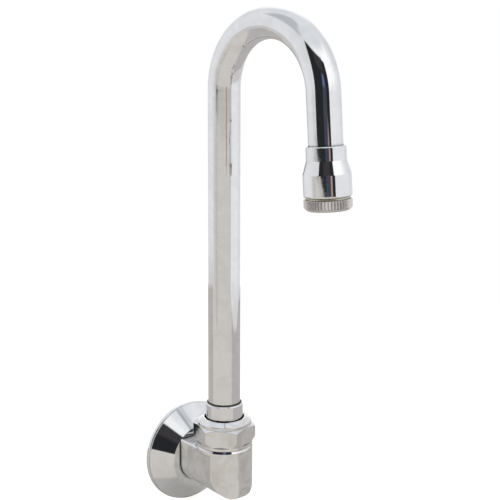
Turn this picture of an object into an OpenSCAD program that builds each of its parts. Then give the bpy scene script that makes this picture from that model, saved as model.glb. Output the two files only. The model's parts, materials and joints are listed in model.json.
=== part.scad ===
// Wall-mounted swivel gooseneck faucet, in millimetres.
// The origin is the centre of the supply inlet on the wall plane. +Z is up, and -Y points out of the wall.

/* [Wall flange] */
// Outer diameter of the flange
flange_d = 63.5; // [58:0.5:76]
// Diameter of the flat front face
flange_face_d = 42; // [38:0.5:50]
// Distance from the wall to the flat front face
flange_depth = 13.3; // [11:0.1:18]
// Height of the straight rim at the wall
flange_rim_h = 2.2; // [1:0.1:4]
// Wall thickness of the flange
flange_wall = 1.8; // [1.2:0.1:3]
// Rounding of the flange's outer edges
flange_edge = 0.6; // [0.3:0.1:0.9]

/* [Elbow body] */
// Distance from the wall to the riser axis
wall_to_riser = 37.5; // [35:0.5:50]
// Width across the flat sides of the neck
neck_w = 31; // [29:0.5:33]
// Height of the neck's flat top above the inlet axis
neck_up = 14.5; // [13.5:0.1:18]
// Depth of the neck's underside below the inlet axis
neck_down = 13.8; // [13:0.1:18]
// Radius of the neck's lower edges
neck_round = 12.5; // [4:0.5:13]
// Radius of the neck's upper edges
neck_edge = 0.8; // [0.4:0.1:2]
// Diameter of the upright column, its seat ring and the nut's skirt
column_d = 34; // [33.5:0.1:37]
// Rounding of the column's lower edge
column_edge = 1.5; // [0.5:0.1:4]
// Height of the seat ring above the neck
seat_ring_h = 2.4; // [1.8:0.1:3]
// Height of the bevel round the seat ring
seat_bevel_h = 1.4; // [0.5:0.1:1.6]
// Width of the bevel round the seat ring
seat_bevel_w = 0.5; // [0.2:0.1:1]
// Diameter of the round tail that passes through the flange
tail_d = 25.6; // [23:0.1:26]
// Diameter of the tail's shoulder, which bears on the flange
tail_shoulder_d = 27.2; // [26.8:0.1:27.6]
// Wall diameter of the threaded inlet
inlet_d = 18.4; // [15:0.1:20]
// Length of the threaded inlet
inlet_len = 16; // [12:0.5:20]
// Diameter of the drilled waterways
water_d = 12; // [8:0.5:14]

/* [Swivel nut] */
// Height of the nut
nut_h = 16.5; // [15.5:0.1:21]
// Wall between the nut's thread and its flats
nut_wall = 2.7; // [2:0.1:4]
// Thickness of the nut's top, round the sleeve
nut_lip = 3; // [2:0.1:4]
// Width of the flat land round the sleeve, before the slope
nut_land = 0.8; // [0.4:0.1:1.2]
// Drop of the nut's sloping top, from the land to the collar
nut_slope_h = 2.1; // [1:0.1:2.6]
// Height of the round collar between the sloping top and the flats
nut_collar_h = 1.9; // [1:0.1:2.5]
// Rounding of the collar's upper edge
nut_round = 0.5; // [0.3:0.1:0.9]
// Step from the collar out to the middle of a flat
nut_step = 0.15; // [0.1:0.05:0.3]
// Height of the round skirt
nut_skirt_h = 1.7; // [1.2:0.1:3]
// Slope of the bevel above the flats
nut_bevel = 30; // [20:1:40]
// Slope of the bevel under the flats
nut_under_bevel = 60; // [45:1:65]
// Turn of the nut about the riser
nut_turn = -13.5; // [-30:0.5:30]

/* [Swivel sleeve] */
// Wall of the sleeve round the tube
sleeve_wall = 1.5; // [1.2:0.1:2.5]
// Height of the sleeve above the nut
sleeve_show = 9; // [6:0.1:16]
// Bevel of the sleeve's upper edge
sleeve_edge = 0.6; // [0.2:0.1:0.9]
// Depth of the tube's socket in the sleeve
sleeve_socket = 11.7; // [8:0.1:16]
// Width of the captive shoulder
shoulder_w = 2.1; // [1.5:0.1:3]
// Thickness of the captive shoulder
shoulder_t = 3; // [2:0.1:4]
// Diameter of the spigot that turns in the column
spigot_d = 18.9; // [17:0.1:20]
// Length of the spigot below the shoulder
spigot_len = 20.5; // [18:0.1:23]
// Bore of the spigot
spigot_bore = 11.4; // [8:0.1:12]
// Thickness of the two thrust washers
washer_t = 1.2; // [0.8:0.1:2]
// Section of the seal rings
seal_t = 1.9; // [1.5:0.1:2.2]
// Width of the seal grooves
seal_groove_w = 2.6; // [2.4:0.1:3.2]
// Distance from the shoulder to the first seal
seal_drop = 5.5; // [4:0.1:7]
// Distance between the two seals
seal_pitch = 8; // [5:0.1:10]

/* [Gooseneck] */
// Outer diameter of the tube
tube_d = 19.05; // [18:0.05:21]
// Wall of the tube
tube_wall = 1.2; // [0.8:0.1:2]
// Height of the bend's centre above the sleeve
riser_h = 186.8; // [120:0.1:260]
// Centreline radius of the bend
bend_r = 37.5; // [32:0.1:60]
// Angle of the bend
bend_angle = 175.3; // [150:0.1:180]
// Thinning of the wall in the bend, from each side
bend_draw = 0.03; // [0.02:0.01:0.1]
// Length by which the straight tube runs into the bend
bend_run_in = 0.5; // [0.3:0.1:1]
// Straight tube between the bend and the bell
drop_len = 27.7; // [20:0.1:80]
// Turn of the spout from straight out of the wall, as it stands at rest
spout_turn = 7; // [-90:0.1:90]

/* [Outlet bell] */
// Wall of the bell's collar round the tube
bell_wall = 1.5; // [1.2:0.1:2.2]
// Length of the bell's straight collar
bell_collar_len = 7.5; // [6:0.1:12]
// Length of the bell's flare
bell_flare_len = 7.2; // [5:0.1:12]
// Diameter of the bell's rim
bell_d = 26.6; // [26.5:0.1:30]
// Length of the bell's straight rim
bell_rim_len = 12.2; // [11:0.1:18]
// Depth of the tube's socket in the bell
bell_socket = 10; // [7:0.1:11]
// Bevel of the collar's upper edge
bell_edge = 0.5; // [0.2:0.1:0.8]
// Rounding of the rim's lower edge
bell_round = 1.1; // [0.5:0.1:1.2]

/* [Aerator] */
// Diameter of the aerator's thread
thread_d = 23.8; // [23:0.1:24]
// Depth of the threaded chamber in the bell
chamber_len = 9.5; // [8:0.1:10.5]
// Length of bare neck between the bell and the knurl
neck_show = 1.2; // [0.5:0.1:3]
// Diameter of the knurled ring
knurl_d = 26; // [25:0.1:28]
// Height of the knurled ring
knurl_h = 4.8; // [3:0.1:8]
// Number of knurl teeth
knurl_teeth = 48; // [24:1:60]
// Depth of the knurl teeth
knurl_depth = 0.5; // [0.2:0.05:0.5]
// Bevel at both ends of the knurl
knurl_edge = 0.4; // [0.3:0.1:0.8]
// Height of the tapered nose
nose_h = 1.2; // [0.8:0.1:4]
// Diameter of the nose's lower end
nose_d = 22.4; // [21.5:0.1:23.5]
// Bore of the housing
housing_bore = 20.4; // [19.5:0.1:20.6]
// Diameter of the water outlet
mouth_d = 18; // [15:0.1:18.6]
// Height of the lip under the outlet screen
lip_h = 2.4; // [1.5:0.1:3]
// Thickness of the gasket
gasket_t = 2; // [1.5:0.1:2.5]
// Width of the gasket
gasket_w = 2.4; // [1.5:0.1:3]
// Thickness of a screen
screen_t = 0.4; // [0.3:0.05:0.6]
// Width of a screen's openings
mesh_gap = 1.4; // [1:0.1:2]
// Width of a screen's wires
mesh_wire = 0.6; // [0.4:0.1:1]
// Thickness of the jet disc
jet_t = 2.4; // [1.5:0.1:3]
// Number of jets
jet_count = 12; // [8:1:16]
// Width of a jet, along the radius
jet_w = 1.1; // [0.8:0.1:1.6]
// Length of a jet, round the disc
jet_len = 2; // [1.5:0.1:2.4]
// Height of the mixing ring
mixing_h = 6.2; // [4:0.1:7]
// Wall of the mixing ring
mixing_wall = 1.1; // [0.8:0.1:1.6]

/* [Clearances] */
// Gap filled by braze round the tube
braze_gap = 0.05; // [0.02:0.01:0.1]
// Radial gap of the turning spigot
running_gap = 0.08; // [0.02:0.01:0.1]
// Radial gap between a seal and the column's bore
seal_gap = 0.04; // [0.02:0.01:0.1]
// Radial gap between turning pieces that only pass each other
pass_gap = 0.35; // [0.3:0.05:0.6]
// Axial gap between the shoulder and each thrust washer
thrust_gap = 0.15; // [0.05:0.05:0.3]
// Radial gap of a screwed joint
thread_gap = 0.05; // [0.02:0.01:0.1]
// Gap between the nut's skirt and the seat ring
skirt_gap = 0.3; // [0.2:0.1:1]
// Radial gap between the nut and the sleeve that turns in it
nut_gap = 0.9; // [0.3:0.1:1.2]
// Gap between the flange's face and the elbow's neck, round the shoulder
flange_gap = 0.4; // [0.2:0.1:0.6]
// Radial gap of a piece dropped into a bore
drop_in_gap = 0.1; // [0.05:0.05:0.2]
// Space under the end of the spigot
spigot_end_gap = 0.8; // [0.5:0.1:2]

/* [Hidden] */
$fn = 96;
// Overshoot of a cutting tool past the surface that it opens
cut = 1;

seat_z = neck_up + seat_ring_h;
nut_z = seat_z + skirt_gap;
nut_top_z = nut_z + nut_h;
ledge_z = nut_top_z - nut_lip;
shoulder_top_z = ledge_z - washer_t - thrust_gap;
shoulder_z = shoulder_top_z - shoulder_t;
boss_top_z = shoulder_z - thrust_gap - washer_t;
spigot_z = shoulder_z - spigot_len;
sleeve_top_z = nut_top_z + sleeve_show;
tube_foot_z = sleeve_top_z - sleeve_socket;
bend_z = sleeve_top_z + riser_h;

tube_r = tube_d / 2;
socket_r = tube_r + braze_gap;
tube_bore_r = tube_r - tube_wall;
sleeve_r = socket_r + sleeve_wall;
shoulder_r = sleeve_r + shoulder_w;
nut_hole_r = sleeve_r + nut_gap;
boss_r = shoulder_r + pass_gap;
nut_bore_r = boss_r + thread_gap;
nut_flat_r = nut_bore_r + nut_wall;
nut_corner_r = nut_flat_r / cos(30);
column_r = column_d / 2;
column_bore_r = spigot_d / 2 + running_gap;
seal_r = column_bore_r - seal_gap - seal_t / 2;
seal_zs = [shoulder_z - seal_drop, shoulder_z - seal_drop - seal_pitch];

bell_collar_r = socket_r + bell_wall;
bell_len = bell_collar_len + bell_flare_len + bell_rim_len;
chamber_r = thread_d / 2 + thread_gap;
gasket_at = bell_len - chamber_len;
housing_at = gasket_at + gasket_t;
knurl_at = bell_len + neck_show;
nose_at = knurl_at + knurl_h;
outlet_at = nose_at + nose_h;
outlet_screen_at = outlet_at - lip_h - screen_t;
mixing_at = outlet_screen_at - mixing_h;
jet_at = mixing_at - jet_t;
inlet_screen_at = jet_at - screen_t;
stack_r = housing_bore / 2 - drop_in_gap;
stack_open_r = stack_r - mixing_wall;

chrome = "#c9c8c6";
nickel = "#a9a7a2";
rubber = "#26262a";
acetal = "#e9e4d6";
steel = "#b4b6b8";

// Frames: the inlet runs along -Y, the riser stands on its own axis, and the outlet's +Z is the water's way out
module along_inlet() rotate([90, 0, 0]) children();

module at_riser() translate([0, -wall_to_riser, 0]) children();

module at_spout() at_riser() rotate([0, 0, spout_turn]) children();

module from_bend()
    translate([0, bend_r * (cos(bend_angle) - 1), bend_z + bend_r * sin(bend_angle)])
        rotate([bend_angle, 0, 0]) children();

module at_outlet() at_spout() from_bend() translate([0, 0, drop_len]) children();

// A flat ring standing on z = 0
module ring(r_out, r_in, h)
    difference() {
        cylinder(r = r_out, h = h);
        translate([0, 0, -cut]) cylinder(r = r_in, h = h + 2 * cut);
    }

// A solid of revolution whose outer edge at one end is rounded: a bar of radius r from z = 0, round at the top
module round_end_bar(r, h, edge)
    rotate_extrude() {
        square([r, h - edge]);
        square([r - edge, h]);
        translate([r - edge, h - edge]) circle(r = edge);
    }

// Turned escutcheon: straight rim, cone and flat face, hollow behind
module flange_outline(rim_r, rim_h, face_r, depth)
    polygon([[0, 0], [rim_r, 0], [rim_r, rim_h], [face_r, depth], [0, depth]]);

module wall_flange() {
    rim_r = flange_d / 2;
    face_r = flange_face_d / 2;
    hole_r = tail_d / 2 + drop_in_gap;
    color(chrome) along_inlet() difference() {
        rotate_extrude() {
            flange_outline(rim_r - flange_edge, flange_rim_h + flange_edge, face_r - flange_edge, flange_depth);
            square([rim_r, flange_rim_h - flange_edge]);
            translate([rim_r - flange_edge, flange_rim_h - flange_edge]) circle(r = flange_edge);
            square([face_r - flange_edge, flange_depth]);
        }
        translate([0, 0, -cut]) rotate_extrude()
            flange_outline(rim_r - flange_wall, flange_rim_h - flange_edge + cut,
                face_r - flange_wall, flange_depth - flange_wall + cut);
        translate([0, 0, -cut]) cylinder(r = hole_r, h = flange_depth + 2 * cut);
    }
}

// Cross-section of the elbow's neck, seen from the front
module neck_outline() {
    half_w = neck_w / 2;
    for (side = [-1, 1]) {
        translate([side * (half_w - neck_round), neck_round - neck_down]) circle(r = neck_round);
        translate([side * (half_w - neck_edge), neck_up - neck_edge]) circle(r = neck_edge);
    }
    translate([neck_round - half_w, -neck_down]) square([neck_w - 2 * neck_round, neck_up + neck_down]);
    translate([-half_w, neck_round - neck_down])
        square([neck_w, neck_up + neck_down - neck_round - neck_edge]);
    translate([neck_edge - half_w, 0]) square([neck_w - 2 * neck_edge, neck_up]);
}

// Round column with flat cheeks, and the flat-sided neck that joins it to the flange
module elbow_outside() {
    neck_len = wall_to_riser - flange_depth - flange_gap;
    intersection() {
        union() {
            at_riser() translate([0, 0, neck_up]) mirror([0, 0, 1])
                round_end_bar(column_r, neck_up + neck_down, column_edge);
            translate([-neck_w / 2, -wall_to_riser, -neck_down]) cube([neck_w, neck_len, neck_up + neck_down]);
        }
        along_inlet() linear_extrude(wall_to_riser + column_d) neck_outline();
    }
    at_riser() translate([0, 0, neck_up - neck_edge])
        cylinder(r = column_r, h = neck_edge + seat_ring_h - seat_bevel_h);
    at_riser() translate([0, 0, seat_z - seat_bevel_h])
        cylinder(r1 = column_r, r2 = column_r - seat_bevel_w, h = seat_bevel_h);
    at_riser() translate([0, 0, neck_up]) cylinder(r = boss_r, h = boss_top_z - neck_up);
    along_inlet() cylinder(d = tail_d, h = flange_depth + cut);
    along_inlet() translate([0, 0, flange_depth]) cylinder(d = tail_shoulder_d, h = flange_gap + cut);
}

module elbow_body() {
    bore_floor_z = spigot_z - spigot_end_gap;
    color(chrome) difference() {
        elbow_outside();
        along_inlet() translate([0, 0, -cut]) cylinder(d = inlet_d, h = inlet_len + cut);
        along_inlet() cylinder(d = water_d, h = wall_to_riser);
        at_riser() cylinder(d = water_d, h = boss_top_z);
        at_riser() translate([0, 0, bore_floor_z])
            cylinder(r = column_bore_r, h = boss_top_z - bore_floor_z + cut);
    }
}

// Outside of the nut as turned, before its flats are cut: skirt bevel, corner bevel, round collar and sloping top
module nut_turned() {
    collar_r = nut_flat_r - nut_step;
    land_r = nut_hole_r + nut_land;
    slope = atan2(nut_slope_h, collar_r - land_r);
    collar_z = nut_h - nut_slope_h - nut_collar_h;
    corner_top_z = collar_z - (nut_corner_r - collar_r) * tan(nut_bevel);
    corner_z = nut_skirt_h + (nut_corner_r - column_r) * tan(nut_under_bevel);
    round_r = collar_r - nut_round;
    round_z = nut_h - (round_r - land_r) * tan(slope) - nut_round / cos(slope);
    rotate_extrude() {
        polygon([
            [0, nut_skirt_h], [column_r, nut_skirt_h], [nut_corner_r, corner_z], [nut_corner_r, corner_top_z],
            [collar_r, collar_z], [collar_r, round_z], [round_r, round_z] + nut_round * [sin(slope), cos(slope)],
            [land_r, nut_h], [0, nut_h]
        ]);
        translate([round_r, round_z]) circle(r = nut_round);
    }
}

module swivel_nut()
    color(chrome) at_riser() translate([0, 0, nut_z]) rotate([0, 0, nut_turn - 90]) difference() {
        union() {
            cylinder(r = column_r, h = nut_skirt_h);
            intersection() {
                nut_turned();
                cylinder(r = nut_corner_r, h = nut_h, $fn = 6);
            }
        }
        translate([0, 0, -cut]) cylinder(r = nut_bore_r, h = nut_h - nut_lip + cut);
        translate([0, 0, -cut]) cylinder(r = nut_hole_r, h = nut_h + 2 * cut);
    }

// Plastic rings that take the spout's thrust up against the nut and down on the column
module upper_thrust_washer()
    color(acetal) at_riser() translate([0, 0, ledge_z - washer_t])
        ring(nut_bore_r - drop_in_gap, nut_hole_r, washer_t);

module lower_thrust_washer()
    color(acetal) at_riser() translate([0, 0, boss_top_z])
        ring(nut_bore_r - drop_in_gap, spigot_d / 2 + pass_gap, washer_t);

// Turned sleeve: collar with the tube's socket, captive shoulder, and a spigot with two seal grooves
module swivel_sleeve() {
    groove_r = seal_r - seal_t / 2 - seal_gap;
    flare_h = tube_bore_r - spigot_bore / 2;
    color(chrome) at_spout() difference() {
        union() {
            translate([0, 0, shoulder_top_z])
                cylinder(r = sleeve_r, h = sleeve_top_z - sleeve_edge - shoulder_top_z);
            translate([0, 0, sleeve_top_z - sleeve_edge])
                cylinder(r1 = sleeve_r, r2 = sleeve_r - sleeve_edge, h = sleeve_edge);
            translate([0, 0, shoulder_z]) cylinder(r = shoulder_r, h = shoulder_t);
            translate([0, 0, spigot_z]) cylinder(d = spigot_d, h = spigot_len);
        }
        for (z = seal_zs)
            translate([0, 0, z - seal_groove_w / 2]) ring(spigot_d / 2 + cut, groove_r, seal_groove_w);
        translate([0, 0, spigot_z - cut]) cylinder(d = spigot_bore, h = tube_foot_z - spigot_z + cut);
        translate([0, 0, tube_foot_z - flare_h])
            cylinder(r1 = spigot_bore / 2, r2 = tube_bore_r, h = flare_h);
        translate([0, 0, tube_foot_z]) cylinder(r = socket_r, h = sleeve_socket + cut);
    }
}

module seal(z)
    color(rubber) at_spout() translate([0, 0, z]) rotate_extrude() translate([seal_r, 0]) circle(d = seal_t);

module upper_o_ring() seal(seal_zs[0]);

module lower_o_ring() seal(seal_zs[1]);

// Cross-section of the tube, with its wall thinned by draw from both sides
module tube_section(draw)
    difference() {
        circle(r = tube_r - draw);
        circle(r = tube_bore_r + draw);
    }

// Riser, drawn bend and drop, as one tube: the straight lengths run a little way round the bend's ends
module gooseneck_tube()
    color(chrome) at_spout() {
        translate([0, 0, tube_foot_z]) linear_extrude(bend_z - tube_foot_z + bend_run_in) tube_section(0);
        translate([0, -bend_r, bend_z]) rotate([90, 0, 90])
            rotate_extrude(angle = bend_angle) translate([bend_r, 0]) tube_section(bend_draw);
        from_bend() translate([0, 0, -bend_run_in])
            linear_extrude(bend_run_in + drop_len + bell_socket) tube_section(0);
    }

// Half-section of the bell: collar, conical flare and straight rim, along the water's way
module bell_outline() {
    bell_r = bell_d / 2;
    rim_at = bell_collar_len + bell_flare_len;
    polygon([
        [0, 0], [bell_collar_r - bell_edge, 0], [bell_collar_r, bell_edge], [bell_collar_r, bell_collar_len],
        [bell_r, rim_at], [0, rim_at]
    ]);
    translate([0, rim_at]) {
        square([bell_r, bell_rim_len - bell_round]);
        square([bell_r - bell_round, bell_rim_len]);
        translate([bell_r - bell_round, bell_rim_len - bell_round]) circle(r = bell_round);
    }
}

module outlet_bell()
    color(chrome) at_outlet() difference() {
        rotate_extrude() bell_outline();
        translate([0, 0, -cut]) cylinder(r = socket_r, h = bell_socket + cut);
        cylinder(r = tube_bore_r, h = bell_len);
        translate([0, 0, gasket_at]) cylinder(r = chamber_r, h = chamber_len + cut);
    }

module aerator_gasket()
    color(rubber) at_outlet() translate([0, 0, gasket_at])
        ring(thread_d / 2 - drop_in_gap, thread_d / 2 - drop_in_gap - gasket_w, gasket_t);

// Ring of straight triangular teeth, bevelled at both ends
module knurled_ring() {
    knurl_r = knurl_d / 2;
    teeth = [
        for (i = [0 : 2 * knurl_teeth - 1])
            let (r = knurl_r - (i % 2) * knurl_depth, turn = 180 * i / knurl_teeth)
            r * [cos(turn), sin(turn)]
    ];
    intersection() {
        linear_extrude(knurl_h) polygon(teeth);
        rotate_extrude() polygon([
            [0, 0], [knurl_r - knurl_edge, 0], [knurl_r, knurl_edge], [knurl_r, knurl_h - knurl_edge],
            [knurl_r - knurl_edge, knurl_h], [0, knurl_h]
        ]);
    }
}

module aerator_housing()
    color(nickel) at_outlet() difference() {
        union() {
            translate([0, 0, housing_at]) cylinder(d = thread_d, h = knurl_at - housing_at);
            translate([0, 0, knurl_at]) knurled_ring();
            translate([0, 0, nose_at])
                cylinder(r1 = knurl_d / 2 - knurl_edge, r2 = nose_d / 2, h = nose_h);
        }
        translate([0, 0, housing_at - cut])
            cylinder(d = housing_bore, h = outlet_at - lip_h - housing_at + cut);
        translate([0, 0, outlet_at - lip_h - cut]) cylinder(d = mouth_d, h = lip_h + 2 * cut);
    }

// Woven screen: a disc with a square grid of openings inside its plain edge
module screen(at) {
    pitch = mesh_gap + mesh_wire;
    reach = ceil(stack_open_r / pitch);
    color(steel) at_outlet() translate([0, 0, at]) linear_extrude(screen_t) difference() {
        circle(r = stack_r);
        for (i = [-reach : reach], j = [-reach : reach])
            if (norm([abs(i), abs(j)] * pitch + [mesh_gap, mesh_gap] / 2) < stack_open_r)
                translate([i, j] * pitch) square(mesh_gap, center = true);
    }
}

module inlet_screen() screen(inlet_screen_at);

module outlet_screen() screen(outlet_screen_at);

// Disc that splits the water into a ring of jets
module jet_disc()
    color(acetal) at_outlet() translate([0, 0, jet_at]) linear_extrude(jet_t) difference() {
        circle(r = stack_r);
        for (i = [0 : jet_count - 1])
            rotate(360 * i / jet_count) translate([stack_open_r - jet_len, 0])
                square([jet_w, jet_len], center = true);
    }

module mixing_ring()
    color(acetal) at_outlet() translate([0, 0, mixing_at]) ring(stack_r, stack_open_r, mixing_h);

wall_flange();
elbow_body();
swivel_nut();
upper_thrust_washer();
lower_thrust_washer();
swivel_sleeve();
upper_o_ring();
lower_o_ring();
gooseneck_tube();
outlet_bell();
aerator_gasket();
aerator_housing();
inlet_screen();
jet_disc();
mixing_ring();
outlet_screen();
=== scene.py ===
"""Looks of a chrome wall faucet: its finishes, its fine pieces, and the studio it stands in."""
import json
import math

import bmesh
import bpy
from mathutils import Matrix, Vector


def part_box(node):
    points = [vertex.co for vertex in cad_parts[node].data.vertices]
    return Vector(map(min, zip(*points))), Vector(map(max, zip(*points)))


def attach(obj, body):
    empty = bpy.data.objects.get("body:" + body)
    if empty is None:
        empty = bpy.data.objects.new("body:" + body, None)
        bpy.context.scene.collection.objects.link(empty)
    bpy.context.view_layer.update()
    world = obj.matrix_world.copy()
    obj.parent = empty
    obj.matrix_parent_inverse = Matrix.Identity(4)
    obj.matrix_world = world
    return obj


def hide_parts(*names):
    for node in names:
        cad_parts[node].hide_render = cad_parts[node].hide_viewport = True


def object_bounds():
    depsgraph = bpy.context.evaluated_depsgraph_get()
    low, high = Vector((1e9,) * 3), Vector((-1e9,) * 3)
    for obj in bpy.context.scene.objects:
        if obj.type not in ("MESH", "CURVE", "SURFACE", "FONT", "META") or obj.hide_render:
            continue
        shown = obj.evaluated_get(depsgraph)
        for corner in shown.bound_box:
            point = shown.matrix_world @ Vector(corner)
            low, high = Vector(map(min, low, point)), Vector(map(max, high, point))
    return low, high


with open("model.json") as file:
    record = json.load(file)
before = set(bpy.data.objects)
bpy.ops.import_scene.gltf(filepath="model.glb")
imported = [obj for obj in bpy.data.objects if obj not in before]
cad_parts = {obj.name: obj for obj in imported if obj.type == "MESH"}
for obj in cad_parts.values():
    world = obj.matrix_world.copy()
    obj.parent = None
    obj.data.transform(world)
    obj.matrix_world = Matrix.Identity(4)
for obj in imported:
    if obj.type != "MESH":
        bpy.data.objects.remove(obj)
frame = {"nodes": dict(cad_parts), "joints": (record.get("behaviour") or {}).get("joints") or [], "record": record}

CAD_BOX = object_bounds()
SCENE = bpy.context.scene
NODES = frame["nodes"]
MM = 0.001
UP = Vector((0, 0, 1))

# The riser stands on the swivel's axis, and the spout's bend lies in one upright plane through it.
RISER = Vector((*frame["joints"][0]["pos_m"][:2], 0))
SPOUT_TURN = math.radians(7)
SPOUT_OUT = Matrix.Rotation(SPOUT_TURN, 3, "Z") @ Vector((0, -1, 0))
TUBE_R = 9.525 * MM
TUBE_WALL = 1.2 * MM
TUBE_FOOT, TUBE_TOP = (corner.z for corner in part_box("gooseneck_tube"))
BEND_R = 37.5 * MM
BEND_ANGLE = math.radians(175.3)
BEND_CENTRE = RISER + BEND_R * SPOUT_OUT + (TUBE_TOP - TUBE_R - BEND_R) * UP
BEND_END = BEND_CENTRE + BEND_R * (-math.cos(BEND_ANGLE) * SPOUT_OUT + math.sin(BEND_ANGLE) * UP)
DROP_LEN = 27.7 * MM
BELL_SOCKET = 10 * MM
OUTLET_WAY = math.sin(BEND_ANGLE) * SPOUT_OUT + math.cos(BEND_ANGLE) * UP
OUTLET_LEN = 61.8 * MM

# Places along the outlet's axis: the knurl's upper edge, and where the neck above it is quite bare
KNURL_AND_NOSE = 6 * MM
KNURL_TOP = BEND_END.dot(OUTLET_WAY) + OUTLET_LEN - KNURL_AND_NOSE
NECK_EDGE = KNURL_TOP - 0.1 * MM
NECK_BARE = KNURL_TOP - 0.4 * MM

# The camera stands in front and to the left of the faucet, a little above its arch.
VIEW_TURN = math.radians(36.5)
VIEW_RIGHT = Vector((math.cos(VIEW_TURN), -math.sin(VIEW_TURN), 0))
VIEW_AWAY = Vector((math.sin(VIEW_TURN), math.cos(VIEW_TURN), 0))
CAMERA_DISTANCE = 671.2 * MM
CAMERA_HEIGHT = 290.8 * MM
CAMERA_YAW = math.radians(1.28)
CAMERA_PITCH = math.radians(13)
CAMERA_ROLL = math.radians(-0.28)
CLIP_START = 10 * MM
FOCAL_PX = 1183.7
PHOTO_PX = 500
SENSOR_MM = 36

# The Mix node's sockets go by number, because several of them share one name.
SHARE, FIRST, SECOND = 0, 6, 7
MIXED = 2

# A noise pattern lies mostly between these values.
NOISE_LOW, NOISE_HIGH = 0.3, 0.7


def linear(hex_colour):
    """An sRGB hex colour as linear red, green, blue and alpha."""
    parts = [int(hex_colour[i:i + 2], 16) / 255 for i in (1, 3, 5)]
    return (*(p / 12.92 if p <= 0.04045 else ((p + 0.055) / 1.055) ** 2.4 for p in parts), 1)


def add(tree, kind, links=None, outlet=0, stops=None, **settings):
    """Adds a node with its settings, links or sets its inputs, and returns the named or numbered output.
    stops gives a colour ramp's places, from 0 to 1, with their sRGB hex colours."""
    node = tree.nodes.new("ShaderNode" + kind)
    for name, value in settings.items():
        setattr(node, name, value)
    for name, value in (links or {}).items():
        if isinstance(value, bpy.types.NodeSocket):
            tree.links.new(value, node.inputs[name])
        else:
            node.inputs[name].default_value = value
    if stops:
        marks = node.color_ramp.elements
        while len(marks) < len(stops):
            marks.new(0.5)
        for mark, (place, hex_colour) in zip(marks, stops):
            mark.position = place
            mark.color = linear(hex_colour)
    return node.outputs[outlet] if len(node.outputs) else node


def new_material(name):
    """A material with only its shader and output, its node tree, and the place on the object in metres."""
    material = bpy.data.materials.new(name)
    material.use_nodes = True
    tree = material.node_tree
    tree.nodes.clear()
    shader = add(tree, "BsdfPrincipled").node
    add(tree, "OutputMaterial", {"Surface": shader.outputs[0]})
    return material, tree, shader.inputs, add(tree, "TexCoord", outlet="Object")


# Finishes: the sizes of their patterns
# The hairlines, grains and wire lines are drawn coarser than the real ones, which the picture could not show.
WORN_PATCH = 11 * MM
HAIRLINE = 1.2 * MM
# How far the painted shade in narrow corners reaches
CORNER_SHADE_REACH = 2.4 * MM
SOFT_EDGE = 0.3 * MM
NICKEL_GRAIN = 0.5 * MM
KNURL_GROOVE = 0.6 * MM
PLASTIC_CLOUD = 6 * MM
WIRE_LINE = 0.4 * MM
BRAZE_GRAIN = 0.6 * MM
PAPER_FIBRE = 2 * MM
EVEN = (1, 1, 1)
ALONG_TUBE = (1, 1, 0.08)


def chrome(name, wave_mm, wave_height_mm, streak, worn, haze):
    """Bright chrome plate on polished brass: a cold mirror with a faint haze of fine scratches, which shows
    the slow waves that polishing left in the metal under it, and painted shade in its narrow corners. The
    waves lie wave_mm apart, streak draws the haze out along X, Y and Z, worn is the colour of the dull
    patches, and haze is the least and most roughness."""
    material, tree, shader, place = new_material(name)
    patch = add(tree, "TexNoise", {"Vector": place, "Scale": 1 / WORN_PATCH, "Detail": 3.0,
                                   "Distortion": 1.2})
    metal = add(tree, "ValToRGB", {"Fac": patch}, stops=[(0.35, worn), (0.6, "#EAEBEC")])
    # Painted shade: ambient occlusion darkens the base colour in narrow corners and gaps
    open_sky = add(tree, "AmbientOcclusion", {"Distance": CORNER_SHADE_REACH}, "AO", samples=8)
    corner_shade = add(tree, "ValToRGB", {"Fac": open_sky}, stops=[(0.42, "#4E4A46"), (0.88, "#FFFFFF")])
    colour = add(tree, "Mix", {SHARE: 1.0, FIRST: metal, SECOND: corner_shade}, MIXED, data_type="RGBA",
                 blend_type="MULTIPLY")
    tree.links.new(colour, shader["Base Color"])
    drawn = add(tree, "Mapping", {"Vector": place, "Scale": streak})
    lines = add(tree, "TexNoise", {"Vector": drawn, "Scale": 1 / HAIRLINE, "Detail": 4.0})
    rough = add(tree, "MapRange", {"Value": lines, "From Min": NOISE_LOW, "From Max": NOISE_HIGH,
                                   "To Min": haze[0], "To Max": haze[1]})
    tree.links.new(rough, shader["Roughness"])
    wave = add(tree, "TexNoise", {"Vector": place, "Scale": 1 / (wave_mm * MM), "Detail": 1.0})
    edge = add(tree, "Bevel", {"Radius": SOFT_EDGE}, samples=6)
    bump = add(tree, "Bump", {"Height": wave, "Distance": wave_height_mm * MM, "Normal": edge})
    tree.links.new(bump, shader["Normal"])
    shader["Metallic"].default_value = 1
    return material


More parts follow.
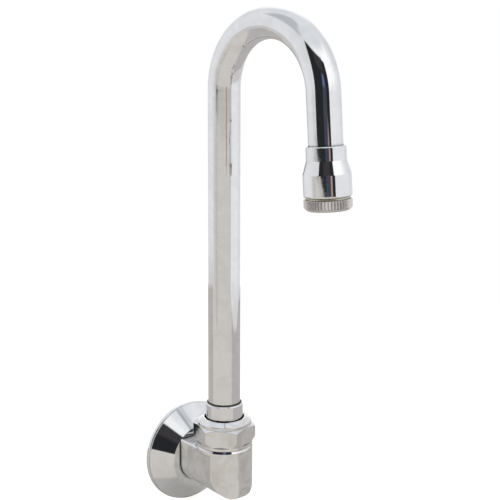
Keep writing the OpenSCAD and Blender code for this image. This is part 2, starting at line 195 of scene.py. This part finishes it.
def dull_nickel():
    """Dull nickel plate on knurled brass: a soft grey metal, with painted shade that darkens the grooves
    between the teeth, so that the crests stand paler. On the bare neck above the knurl the plate is thin and
    the brass shows."""
    material, tree, shader, place = new_material("dull_nickel_plated_brass")
    grain = add(tree, "TexNoise", {"Vector": place, "Scale": 1 / NICKEL_GRAIN, "Detail": 4.0})
    plate = add(tree, "ValToRGB", {"Fac": grain}, stops=[(NOISE_LOW, "#CBC5C3"), (NOISE_HIGH, "#E8E4E2")])
    brass = add(tree, "ValToRGB", {"Fac": grain}, stops=[(NOISE_LOW, "#C0BDA3"), (NOISE_HIGH, "#D4D2BC")])
    along = add(tree, "VectorMath", {0: place, 1: OUTLET_WAY}, "Value", operation="DOT_PRODUCT")
    bare = add(tree, "MapRange", {"Value": along, "From Min": NECK_EDGE, "From Max": NECK_BARE})
    metal = add(tree, "Mix", {SHARE: bare, FIRST: plate, SECOND: brass}, MIXED, data_type="RGBA")
    # Painted shade: ambient occlusion darkens the base colour deep in the knurl's grooves
    shut = add(tree, "AmbientOcclusion", {"Distance": KNURL_GROOVE}, "AO", samples=8)
    groove_shade = add(tree, "MapRange", {"Value": shut, "From Min": 0.55, "From Max": 0.95, "To Min": 0.06,
                                   "To Max": 1.0})
    colour = add(tree, "Mix", {SHARE: 1.0, FIRST: metal, SECOND: groove_shade}, MIXED, data_type="RGBA",
                 blend_type="MULTIPLY")
    tree.links.new(colour, shader["Base Color"])
    rough = add(tree, "MapRange", {"Value": grain, "From Min": NOISE_LOW, "From Max": NOISE_HIGH,
                                   "To Min": 0.26, "To Max": 0.42})
    tree.links.new(rough, shader["Roughness"])
    bump = add(tree, "Bump", {"Height": grain, "Distance": 0.02 * MM})
    tree.links.new(bump, shader["Normal"])
    shader["Metallic"].default_value = 1
    return material


def moulded(name, low_hex, high_hex, grain_mm, height_mm, rough_low, rough_high):
    """A moulded plastic or rubber: one colour with a slight cloudiness, and the fine grain of its mould."""
    material, tree, shader, place = new_material(name)
    cloud = add(tree, "TexNoise", {"Vector": place, "Scale": 1 / PLASTIC_CLOUD, "Detail": 3.0})
    colour = add(tree, "ValToRGB", {"Fac": cloud}, stops=[(NOISE_LOW, low_hex), (NOISE_HIGH, high_hex)])
    tree.links.new(colour, shader["Base Color"])
    grain = add(tree, "TexNoise", {"Vector": place, "Scale": 1 / (grain_mm * MM), "Detail": 3.0})
    rough = add(tree, "MapRange", {"Value": grain, "To Min": rough_low, "To Max": rough_high})
    tree.links.new(rough, shader["Roughness"])
    bump = add(tree, "Bump", {"Height": grain, "Distance": height_mm * MM})
    tree.links.new(bump, shader["Normal"])
    return material


def grained_metal(name, low_hex, high_hex, grain, height_mm, rough_low, rough_high):
    """A plain metal with one fine grain, which shows in its colour, its sheen and its relief alike."""
    material, tree, shader, place = new_material(name)
    lines = add(tree, "TexNoise", {"Vector": place, "Scale": 1 / grain, "Detail": 4.0})
    colour = add(tree, "ValToRGB", {"Fac": lines}, stops=[(NOISE_LOW, low_hex), (NOISE_HIGH, high_hex)])
    tree.links.new(colour, shader["Base Color"])
    rough = add(tree, "MapRange", {"Value": lines, "To Min": rough_low, "To Max": rough_high})
    tree.links.new(rough, shader["Roughness"])
    bump = add(tree, "Bump", {"Height": lines, "Distance": height_mm * MM})
    tree.links.new(bump, shader["Normal"])
    shader["Metallic"].default_value = 1
    return material


# Chrome on the cast elbow and nut: slow waves and some dull patches
CAST_CHROME = chrome("chrome_plated_cast_brass", wave_mm=10, wave_height_mm=0.1, streak=EVEN, worn="#DAD8D5",
                     haze=(0.05, 0.12))
# Chrome on pieces turned on a lathe: an almost true mirror
TURNED_CHROME = chrome("chrome_plated_turned_brass", wave_mm=14, wave_height_mm=0.012, streak=EVEN,
                       worn="#E3E4E5", haze=(0.03, 0.075))
# Chrome on the drawn tube: the same mirror, with its faint scratches drawn out along the riser
TUBE_CHROME = chrome("chrome_plated_drawn_tube", wave_mm=22, wave_height_mm=0.015, streak=ALONG_TUBE,
                     worn="#E3E4E5", haze=(0.03, 0.075))
NICKEL = dull_nickel()
RUBBER = moulded("moulded_nitrile_rubber", "#17171A", "#232327", grain_mm=0.3, height_mm=0.01, rough_low=0.49,
                 rough_high=0.61)
ACETAL = moulded("moulded_acetal", "#DCD8CC", "#E8E4D8", grain_mm=0.5, height_mm=0.01, rough_low=0.34,
                 rough_high=0.46)
# Stainless wire: a grey metal with a silky sheen and fine lines
WIRE = grained_metal("drawn_stainless_wire", "#A9ABAD", "#C6C8CA", WIRE_LINE, height_mm=0.01, rough_low=0.24,
                     rough_high=0.4)
# Silver braze: a grainy grey-brown metal that stays matt between two bright pieces, painted dark as the shade in
# the groove at the tube's foot
BRAZE = grained_metal("silver_braze_painted_shade", "#34322F", "#56534E", BRAZE_GRAIN, height_mm=0.05,
                      rough_low=0.35, rough_high=0.55)

FINISHES = {
    TURNED_CHROME: ["wall_flange", "swivel_sleeve", "outlet_bell"],
    CAST_CHROME: ["elbow_body", "swivel_nut"],
    TUBE_CHROME: ["gooseneck_tube"],
    NICKEL: ["aerator_housing"],
    ACETAL: ["upper_thrust_washer", "lower_thrust_washer", "jet_disc", "mixing_ring"],
    RUBBER: ["upper_o_ring", "lower_o_ring", "aerator_gasket"],
    WIRE: ["inlet_screen", "outlet_screen"],
}
for material, names in FINISHES.items():
    for name in names:
        NODES[name].data.materials.clear()
        NODES[name].data.materials.append(material)


# Pieces: what their shapes share
ROUND_SIDES = 96
SHARP_EDGE = math.radians(30)


def ease(share):
    """A smooth step from 0 to 1."""
    share = min(max(share, 0), 1)
    return share * share * (3 - 2 * share)


def join_rows(shape, rows, following_rows):
    """Faces between each row of points and the one that follows it, where every row closes on itself."""
    for row, following in zip(rows, following_rows):
        for i in range(len(row)):
            shape.faces.new((row[i - 1], row[i], following[i], following[i - 1]))


def new_object(name, mesh, material):
    """A mesh in the scene, as an object with one material."""
    mesh.materials.append(material)
    thing = bpy.data.objects.new(name, mesh)
    SCENE.collection.objects.link(thing)
    return thing


def new_piece(name, shape, sharp_edge, material):
    """A modelled shape as an object, smooth but for edges sharper than the given angle."""
    bmesh.ops.recalc_face_normals(shape, faces=shape.faces)
    mesh = bpy.data.meshes.new(name)
    shape.to_mesh(mesh)
    shape.free()
    mesh.shade_smooth()
    mesh.set_sharp_from_angle(angle=sharp_edge)
    return new_object(name, mesh, material)


def new_sheet(name, corners, material):
    """A flat sheet as an object, by its corners."""
    mesh = bpy.data.meshes.new(name)
    mesh.from_pydata(corners, [], [range(len(corners))])
    return new_object(name, mesh, material)


# Gooseneck: the tube is round where it is straight and pressed a little oval in the bend, as a drawn bend is
OVAL_IN_PLANE = 0.02
OVAL_ACROSS = 0.01
OVAL_RUN = math.radians(40)
BEND_RINGS = 112


def gooseneck_rings():
    """Centre, outward direction in the bend's plane, and oval share, for each ring along the tube."""
    rings = [(RISER + TUBE_FOOT * UP, -SPOUT_OUT, 0)]
    for i in range(BEND_RINGS + 1):
        angle = BEND_ANGLE * i / BEND_RINGS
        outward = -math.cos(angle) * SPOUT_OUT + math.sin(angle) * UP
        oval = ease(min(angle, BEND_ANGLE - angle) / OVAL_RUN)
        rings.append((BEND_CENTRE + BEND_R * outward, outward, oval))
    centre, outward, _ = rings[-1]
    rings.append((centre + (DROP_LEN + BELL_SOCKET) * OUTLET_WAY, outward, 0))
    return rings


def make_gooseneck():
    """The bent tube as one closed mesh with its bore."""
    shape = bmesh.new()
    across = SPOUT_OUT.cross(UP)
    skins = []
    for radius in (TUBE_R, TUBE_R - TUBE_WALL):
        skin = []
        for centre, outward, oval in gooseneck_rings():
            in_plane = radius * (1 - OVAL_IN_PLANE * oval) * outward
            sideways = radius * (1 + OVAL_ACROSS * oval) * across
            ring = []
            for i in range(ROUND_SIDES):
                turn = 2 * math.pi * i / ROUND_SIDES
                ring.append(shape.verts.new(centre + math.cos(turn) * in_plane + math.sin(turn) * sideways))
            skin.append(ring)
        join_rows(shape, skin, skin[1:])
        skins.append(skin)
    outer, inner = skins
    join_rows(shape, [outer[0], outer[-1]], [inner[0], inner[-1]])
    tube = new_piece("gooseneck", shape, SHARP_EDGE, TUBE_CHROME)
    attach(tube, "spout")
    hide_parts("gooseneck_tube")


# Braze: the thin collar of dull metal that holds the tube in the sleeve's mouth, its dark colour painted shade
SLEEVE_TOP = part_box("swivel_sleeve")[1].z
BRAZE_LEG = 0.9 * MM
BRAZE_STEPS = 6
BRAZE_SHARP_EDGE = math.radians(50)


def make_braze():
    """A hollow fillet turned round the riser, from the sleeve's top up to the tube's wall."""
    shape = bmesh.new()
    profile = [(TUBE_R, SLEEVE_TOP)]
    for i in range(BRAZE_STEPS + 1):
        angle = math.pi / 2 * i / BRAZE_STEPS
        out = BRAZE_LEG * (1 - math.sin(angle))
        rise = BRAZE_LEG * (1 - math.cos(angle))
        profile.append((TUBE_R + out, SLEEVE_TOP + rise))
    rows = []
    for i in range(ROUND_SIDES):
        turn = Matrix.Rotation(2 * math.pi * i / ROUND_SIDES, 3, "Z")
        points = (RISER + turn @ Vector((radius, 0, height)) for radius, height in profile)
        rows.append([shape.verts.new(point) for point in points])
    join_rows(shape, rows, rows[1:] + rows[:1])
    braze = new_piece("sleeve_braze", shape, BRAZE_SHARP_EDGE, BRAZE)
    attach(braze, "spout")


# Inlet thread: the ridge of a half-inch pipe thread, 14 turns to the inch, wound inside the inlet's bore
INLET = frame["record"]["mounts"][0]["dims"]
INLET_R = INLET["r_mm"] * MM
INLET_LEN = INLET["length_mm"] * MM
THREAD_PITCH = 25.4 / 14 * MM
THREAD_RISE = 0.5 * MM
THREAD_ROOT = 0.1 * MM
THREAD_FOOT = 0.8 * MM
THREAD_CREST = 0.12 * MM
THREAD_SIDES = 60
THREAD_PLAIN_TURNS = 2


def make_inlet_thread():
    """A ridge with sloping flanks that rises out of the bore's wall, winds inwards and fades out again."""
    shape = bmesh.new()
    steps = int((INLET_LEN / THREAD_PITCH - THREAD_PLAIN_TURNS) * THREAD_SIDES)
    root_r = INLET_R + THREAD_ROOT
    rows = []
    for i in range(steps + 1):
        turn = Matrix.Rotation(2 * math.pi * i / THREAD_SIDES, 3, "Y")
        depth = THREAD_PITCH * (THREAD_PLAIN_TURNS / 2 + i / THREAD_SIDES)
        fade = ease(2 * i / THREAD_SIDES) * ease(2 * (steps - i) / THREAD_SIDES)
        crest_r = INLET_R - THREAD_RISE * fade
        profile = [
            (root_r, -THREAD_FOOT), (crest_r, -THREAD_CREST), (crest_r, THREAD_CREST), (root_r, THREAD_FOOT),
        ]
        points = (turn @ Vector((radius, side - depth, 0)) for radius, side in profile)
        rows.append([shape.verts.new(point) for point in points])
    join_rows(shape, rows, rows[1:])
    shape.faces.new(rows[0])
    shape.faces.new(reversed(rows[-1]))
    thread = new_piece("inlet_thread", shape, SHARP_EDGE, CAST_CHROME)
    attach(thread, "base")


make_gooseneck()
make_braze()
make_inlet_thread()


# Studio: a white light tent that is open towards the camera, with a table in it
# The walls, from behind the faucet round by the left, the camera and the right, as they show in the chrome
STUDIO_WALLS = [
    (0.0, "#FCFCFD"), (0.04, "#F4F5F6"), (0.09, "#D5D5D7"), (0.2, "#DCDCDE"), (0.3, "#D6D6D8"),
    (0.4, "#D4D3D5"), (0.6, "#FDFDFD"), (0.7, "#FAFAFB"), (0.78, "#DEDEE0"), (0.86, "#D0D1D4"),
    (0.92, "#DEDEE0"), (0.96, "#F6F6F7"), (1.0, "#FCFCFD"),
]
# Panels laid over the walls and over each other. Each has its name, its left and right edge, in degrees round
# from the camera to the right, its low and high edge, in degrees above level, the softness of its upright
# and of its level edges, how far its sides lean in for each degree of rise, and its colour as it shows in
# the chrome.
STUDIO_PANELS = [
    ("right wall, low", 32, 105, -90, 8, 5, 22, 0, "#DEDFE2"),
    ("right wall, foot", 58, 150, -90, -16, 8, 4, 0, "#C8C6C4"),
    ("left wall, foot", -150, -76, -90, -14, 8, 4, 0, "#C4C2C0"),
    ("left wall, corner", -80, -60, -14, -3, 16, 5, 0, "#CCCBCA"),
    ("ceiling", -400, 400, 52, 90, 1, 14, 0, "#D5D8DC"),
    ("ceiling, left", -110, -50, 40, 78, 20, 10, 0, "#B3B5B9"),
    ("opening", -64, 38.5, -20, 41, 2.5, 3, 0.35, "#242629"),
    ("opening, right", 0, 34.5, -20, 38, 2.5, 4, 0.1, "#242629"),
    ("opening, grey top", -24, 10, 24, 39, 8, 5, 0, "#3A3737"),
    ("opening, blue middle", -9, 13, -9, 9, 4, 5, 0, "#3E424F"),
    ("opening, blue upper part", -7, 9, 8, 20, 5, 6, 0.2, "#586689"),
    ("room floor, left", -61, -36, -90, -5.6, 13, 0.6, 0, "#A3A19D"),
    ("room floor", -42, 46, -90, -5.3, 4, 0.4, 0, "#BAB7B0"),
    ("opening, warm strip", 12, 19.5, -10, 0.5, 3.5, 2, 0, "#A88B85"),
]
# The share of the studio's light that the chrome gives back
CHROME_MIRRORS = 0.8


def bearing(tree, right, near):
    """Degrees round from the camera to the right, from how far right and how far near a thing lies."""
    turn = add(tree, "Math", {0: right, 1: near}, operation="ARCTAN2")
    return add(tree, "Math", {0: turn}, operation="DEGREES")


def off_middle(tree, value, start, end):
    """How far a value lies to either side of the middle between start and end."""
    off = add(tree, "Math", {0: value, 1: (start + end) / 2}, operation="SUBTRACT")
    return add(tree, "Math", {0: off}, operation="ABSOLUTE")


def make_world():
    """What the metal mirrors, by direction. The camera itself sees plain white."""
    world = bpy.data.worlds.new("light_tent")
    SCENE.world = world
    world.use_nodes = True
    tree = world.node_tree
    tree.nodes.clear()
    way = add(tree, "TexCoord", outlet="Generated")
    front = add(tree, "VectorRotate", {"Vector": way, "Angle": VIEW_TURN}, rotation_type="Z_AXIS")
    right, away, up = add(tree, "SeparateXYZ", {"Vector": front}).node.outputs
    near = add(tree, "Math", {0: away, 1: -1.0}, operation="MULTIPLY")
    turn = bearing(tree, right, near)
    rise = add(tree, "Math", {0: up}, operation="ARCSINE")
    rise = add(tree, "Math", {0: rise}, operation="DEGREES")
    around = add(tree, "MapRange", {"Value": turn, "From Min": -180.0, "From Max": 180.0})
    studio = add(tree, "ValToRGB", {"Fac": around}, stops=STUDIO_WALLS)
    for name, left, right, low, high, soft_sides, soft_ends, lean, hex_colour in STUDIO_PANELS:
        inside = 1.0
        above = add(tree, "Math", {0: rise, 1: low}, operation="SUBTRACT")
        edges = ((turn, left, right, soft_sides, lean), (rise, low, high, soft_ends, 0))
        for value, start, end, soft, tilt in edges:
            off = off_middle(tree, value, start, end)
            off = add(tree, "Math", {0: above, 1: tilt, 2: off}, operation="MULTIPLY_ADD")
            reach = (end - start) / 2
            fade = {"Value": off, "From Min": reach + soft / 2, "From Max": reach - soft / 2}
            share = add(tree, "MapRange", fade, interpolation_type="SMOOTHSTEP")
            inside = add(tree, "Math", {0: inside, 1: share}, operation="MULTIPLY")
        studio = add(tree, "Mix", {SHARE: inside, FIRST: studio, SECOND: linear(hex_colour)}, MIXED,
                     data_type="RGBA", label=name)
    tent = add(tree, "Background", {"Color": studio, "Strength": 1 / CHROME_MIRRORS})
    white = add(tree, "Background", {"Color": (1, 1, 1, 1), "Strength": 1.0})
    seen = add(tree, "LightPath", outlet="Is Camera Ray")
    shown = add(tree, "MixShader", {0: seen, 1: tent, 2: white})
    add(tree, "OutputWorld", {"Surface": shown})


# The table's level, just under the flange, and its edge: degrees round from the camera to the right, and
# metres from the riser. The tent's walls stand close at the sides, and the table runs on through its opening.
TABLE_Z = CAD_BOX[0].z - 0.5 * MM
TABLE_EDGE = [
    (-76, 0.55), (-73, 1.8), (-40, 2.0), (0, 1.7), (11, 1.7), (12, 1.3), (19, 1.3), (20, 1.8), (30, 1.95),
    (38, 1.9), (41, 0.62), (65, 0.42), (90, 0.4), (120, 0.5), (150, 0.56), (180, 0.6), (210, 0.58),
    (240, 0.58), (265, 0.58),
]

# The paler sheet on the table lies between these directions, and its edges are this soft, all in degrees.
SHEET_LEFT = -86
SHEET_RIGHT = 55
SHEET_SOFT = 6

# A paper card at the left, between the faucet's foot and the tent's opening: the place of its two upright
# edges on the table, given like the table's edge, and its height in metres
CARD_EDGES = [(-47.4, 0.417), (-61.6, 0.429)]
CARD_HEIGHT = 0.2


def on_table(turn, far):
    """A place on the table, by degrees round from the camera to the right and metres from the riser."""
    turn = math.radians(turn)
    return RISER + TABLE_Z * UP + far * (math.sin(turn) * VIEW_RIGHT - math.cos(turn) * VIEW_AWAY)


def make_matt(shader):
    """Takes all gloss off a shader."""
    shader["Roughness"].default_value = 0.9
    shader["Specular IOR Level"].default_value = 0


def table_paper():
    """Matt paper lit through from below: plain, pale and slightly warm, with a faint glow of its own, and a
    little darker beside the sheet that runs out towards the camera. The camera sees it lifted to white, and
    looks through it from below."""
    material, tree, shader, place = new_material("matt_paper_table")
    around = add(tree, "VectorMath", {0: place, 1: RISER}, operation="SUBTRACT")
    right = add(tree, "VectorMath", {0: around, 1: VIEW_RIGHT}, "Value", operation="DOT_PRODUCT")
    near = add(tree, "VectorMath", {0: around, 1: -VIEW_AWAY}, "Value", operation="DOT_PRODUCT")
    off = off_middle(tree, bearing(tree, right, near), SHEET_LEFT, SHEET_RIGHT)
    reach = (SHEET_RIGHT - SHEET_LEFT) / 2
    beside = add(tree, "MapRange", {"Value": off, "From Min": reach - SHEET_SOFT / 2,
                                    "From Max": reach + SHEET_SOFT / 2})
    colour = add(tree, "ValToRGB", {"Fac": beside}, stops=[(0, "#BBB5AC"), (1, "#928E8A")])
    tree.links.new(colour, shader["Base Color"])
    seen = add(tree, "LightPath", outlet="Is Camera Ray")
    glow = add(tree, "MapRange", {"Value": seen, "To Min": 0.3, "To Max": 0.95})
    tree.links.new(glow, shader["Emission Strength"])
    shader["Emission Color"].default_value = linear("#FFFCF8")
    below = add(tree, "NewGeometry", outlet="Backfacing")
    gone = add(tree, "Math", {0: seen, 1: below}, operation="MULTIPLY")
    solid = add(tree, "Math", {0: 1.0, 1: gone}, operation="SUBTRACT")
    tree.links.new(solid, shader["Alpha"])
    make_matt(shader)
    return material


def card_paper():
    """Matt white paper, plain and even. The camera looks through it, so it shows only in the chrome."""
    material, tree, shader, place = new_material("matt_paper_card")
    fibre = add(tree, "TexNoise", {"Vector": place, "Scale": 1 / PAPER_FIBRE, "Detail": 3.0})
    colour = add(tree, "ValToRGB", {"Fac": fibre}, stops=[(NOISE_LOW, "#DCDBD8"), (NOISE_HIGH, "#E2E1DE")])
    tree.links.new(colour, shader["Base Color"])
    seen = add(tree, "LightPath", outlet="Is Camera Ray")
    solid = add(tree, "Math", {0: 1.0, 1: seen}, operation="SUBTRACT")
    tree.links.new(solid, shader["Alpha"])
    make_matt(shader)
    return material


def make_table():
    """A flat top just under the flange, which catches the faucet's soft shadow."""
    table = new_sheet("table", [on_table(turn, far) for turn, far in TABLE_EDGE], table_paper())


def make_card():
    """The card as one upright sheet on the table."""
    low = [on_table(turn, far) for turn, far in CARD_EDGES]
    high = [corner + CARD_HEIGHT * UP for corner in reversed(low)]
    card = new_sheet("card", low + high, card_paper())


def make_camera():
    """The photograph's viewpoint."""
    data = bpy.data.cameras.new("camera")
    data.sensor_width = SENSOR_MM
    data.lens = FOCAL_PX * SENSOR_MM / PHOTO_PX
    data.clip_start = CLIP_START
    flat = math.sin(CAMERA_YAW) * VIEW_RIGHT + math.cos(CAMERA_YAW) * VIEW_AWAY
    look = math.cos(CAMERA_PITCH) * flat - math.sin(CAMERA_PITCH) * UP
    level = look.cross(UP).normalized()
    right = math.cos(CAMERA_ROLL) * level - math.sin(CAMERA_ROLL) * level.cross(look)
    camera = bpy.data.objects.new("camera", data)
    camera.matrix_world = Matrix((right, right.cross(look), -look)).transposed().to_4x4()
    camera.location = RISER - CAMERA_DISTANCE * VIEW_AWAY + CAMERA_HEIGHT * UP
    SCENE.collection.objects.link(camera)
    SCENE.camera = camera


make_world()
make_table()
make_card()
make_camera()
SCENE.view_settings.view_transform = "Standard"
